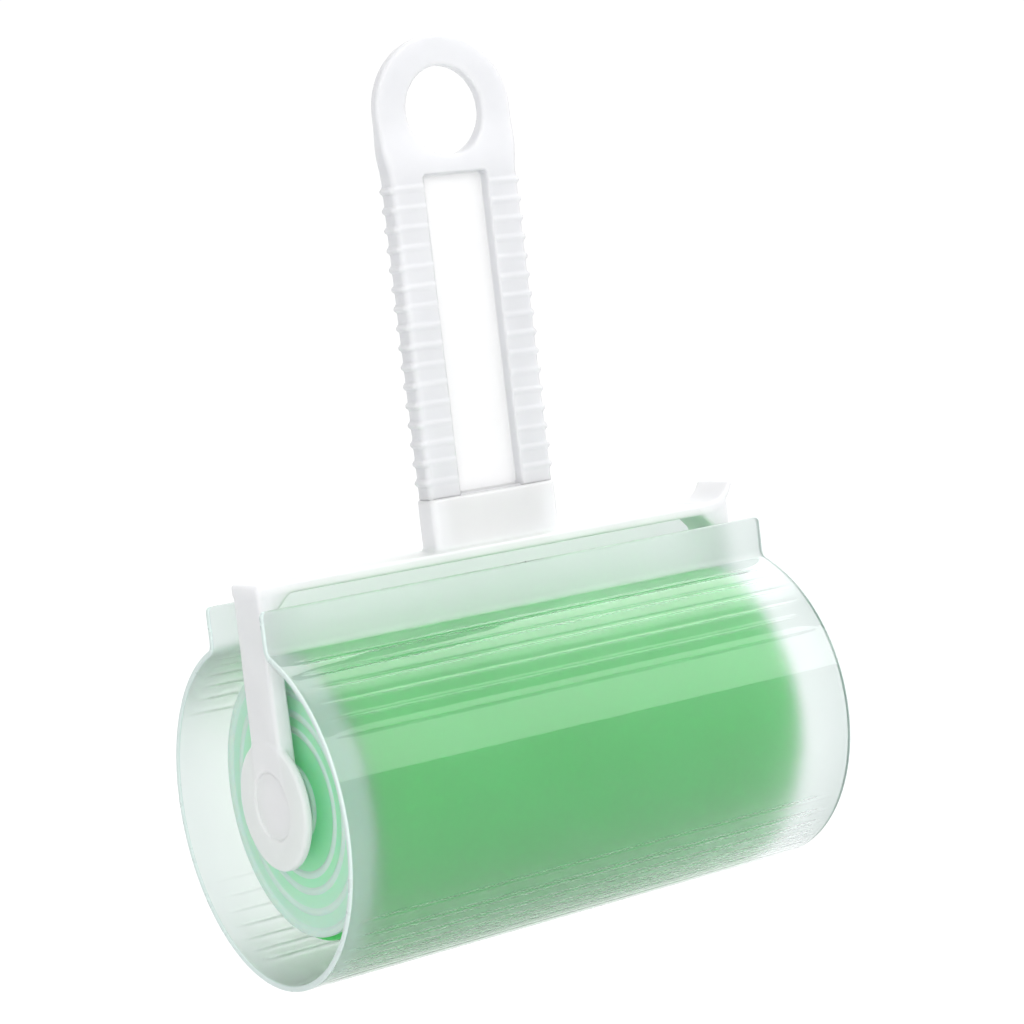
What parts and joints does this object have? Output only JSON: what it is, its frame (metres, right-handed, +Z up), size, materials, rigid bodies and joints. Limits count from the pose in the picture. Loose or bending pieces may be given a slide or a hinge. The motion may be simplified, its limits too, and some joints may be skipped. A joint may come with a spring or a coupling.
{
  "type": "lint roller",
  "caption": "Washable sticky lint roller: ribbed handle with a hanging ring, U-shaped yoke, spinning gel roller and a C-shaped slide-off cover.",
  "frame": {"origin": "centre of the hanging hole, midway between the two flat faces of the ring", "axes": "+Z up the handle, away from the roller; X along the roller, +X towards the release tab; -Y is the front"},
  "size_m": [0.135, 0.076, 0.2015],
  "materials": {
    "white_plastic": "satin translucent white polypropylene",
    "core_plastic": "satin white polypropylene",
    "cap_plastic": "milky translucent polypropylene",
    "green_gel": "glossy tacky gel",
    "frosted_cover": "frosted translucent polypropylene with a smooth outside"
  },
  "bodies": {
    "frame": {"handle": "white_plastic", "yoke": "white_plastic"},
    "roller": {"roller_core": "core_plastic", "gel_sleeve": "green_gel", "left_end_cap": "cap_plastic", "right_end_cap": "cap_plastic"},
    "cover": {"cover": "frosted_cover"}
  },
  "joints": [
    {"name": "roller_spin", "type": "hinge", "parent": "frame", "child": "roller", "pos_m": [0, 0, -0.145], "axis": [1, 0, 0], "continuous": true},
    {"name": "cover_slide", "type": "slide", "parent": "frame", "child": "cover", "axis": [1, 0, 0], "range_m": [-0.14, 0.14]}
  ]
}
